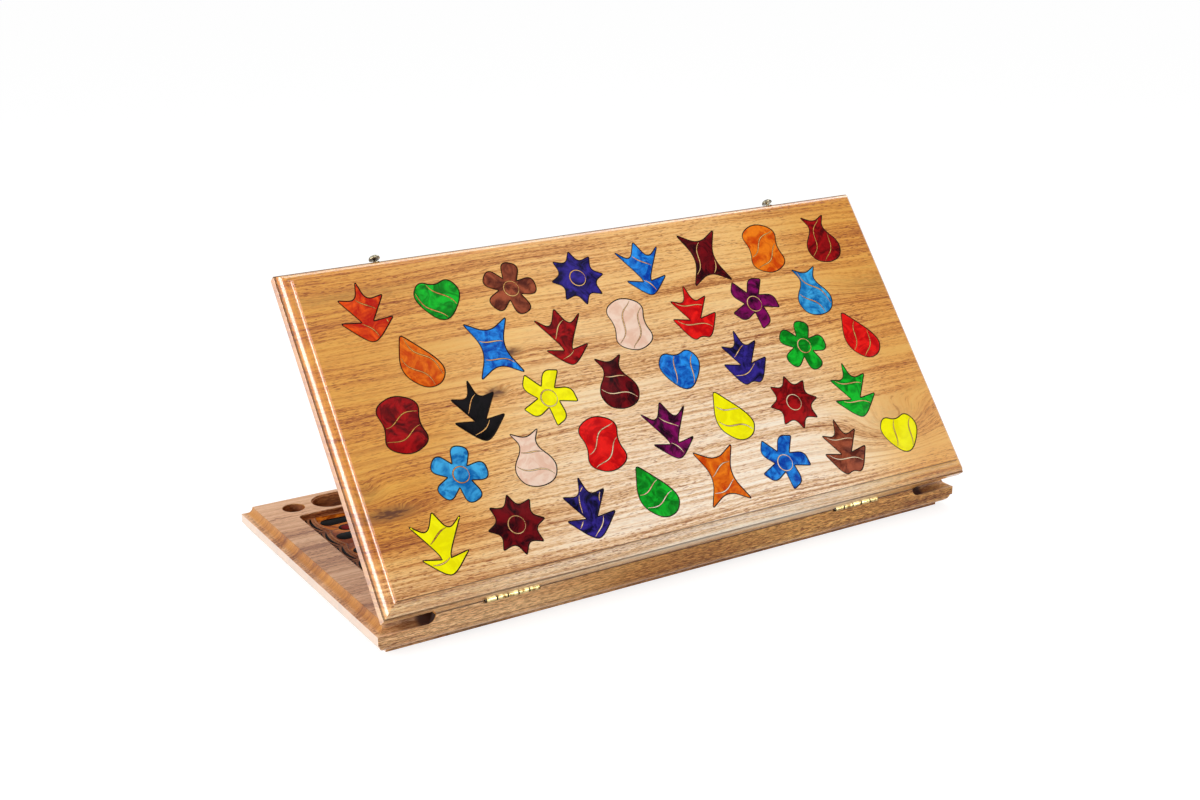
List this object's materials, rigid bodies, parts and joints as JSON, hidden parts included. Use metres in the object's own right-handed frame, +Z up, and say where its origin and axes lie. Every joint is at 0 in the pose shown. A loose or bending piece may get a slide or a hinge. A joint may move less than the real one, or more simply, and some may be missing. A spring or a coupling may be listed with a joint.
{
  "type": "backgammon board",
  "caption": "Folding solid-wood backgammon board: two moulded halves on butt hinges, each with a recessed playing field, a checker channel and dice holes, and resin inlays in the lid.",
  "frame": {"origin": "centre of the lower half's flat base, on the table", "axes": "+X along the hinge line, -Y towards the hinge side, +Z up"},
  "size_m": [0.6, 0.3195, 0.2779],
  "materials": {
    "board_wood": "satin varnish",
    "hinge_brass": "polished",
    "pin_steel": "drawn wire",
    "latch_metal": "nickel plated",
    "spear_resin": "glossy resin",
    "petal_resin": "glossy resin",
    "resin_black": "glossy swirled resin",
    "resin_blue": "glossy swirled resin",
    "resin_brown": "glossy swirled resin",
    "resin_cyan": "glossy swirled resin",
    "resin_dark_red": "glossy swirled resin",
    "resin_green": "glossy swirled resin",
    "resin_indigo": "glossy swirled resin",
    "resin_maroon": "glossy swirled resin",
    "resin_orange": "glossy swirled resin",
    "resin_pink": "glossy swirled resin",
    "resin_purple": "glossy swirled resin",
    "resin_red": "glossy swirled resin",
    "resin_red_orange": "glossy swirled resin",
    "resin_yellow": "glossy swirled resin"
  },
  "bodies": {
    "base": {"lower_board": "board_wood", "lower_point_spears": "spear_resin", "lower_point_petals": "petal_resin", "hinge_left_lower_leaf": "hinge_brass", "hinge_left_pin": "pin_steel", "hook_pivot_left": "latch_metal", "hinge_right_lower_leaf": "hinge_brass", "hinge_right_pin": "pin_steel", "hook_pivot_right": "latch_metal"},
    "lid": {"upper_board": "board_wood", "upper_point_spears": "spear_resin", "upper_point_petals": "petal_resin", "inlays_black": "resin_black", "inlays_blue": "resin_blue", "inlays_brown": "resin_brown", "inlays_cyan": "resin_cyan", "inlays_dark_red": "resin_dark_red", "inlays_green": "resin_green", "inlays_indigo": "resin_indigo", "inlays_maroon": "resin_maroon", "inlays_orange": "resin_orange", "inlays_pink": "resin_pink", "inlays_purple": "resin_purple", "inlays_red": "resin_red", "inlays_red_orange": "resin_red_orange", "inlays_yellow": "resin_yellow", "hinge_left_upper_leaf": "hinge_brass", "latch_stud_left": "latch_metal", "hinge_right_upper_leaf": "hinge_brass", "latch_stud_right": "latch_metal"},
    "hook_left": {"hook_left": "latch_metal"},
    "hook_right": {"hook_right": "latch_metal"}
  },
  "joints": [
    {"name": "lid_hinge", "type": "hinge", "parent": "base", "child": "lid", "pos_m": [0, -0.15025, 0.02825], "axis": [1, 0, 0], "range_deg": [-51.2, 128.8]},
    {"name": "hook_left_swing", "type": "hinge", "parent": "base", "child": "hook_left", "pos_m": [-0.207, 0.15, 0.016], "axis": [0, -1, 0], "range_deg": [-20, 90]},
    {"name": "hook_right_swing", "type": "hinge", "parent": "base", "child": "hook_right", "pos_m": [0.207, 0.15, 0.016], "axis": [0, 1, 0], "range_deg": [-20, 90]}
  ]
}
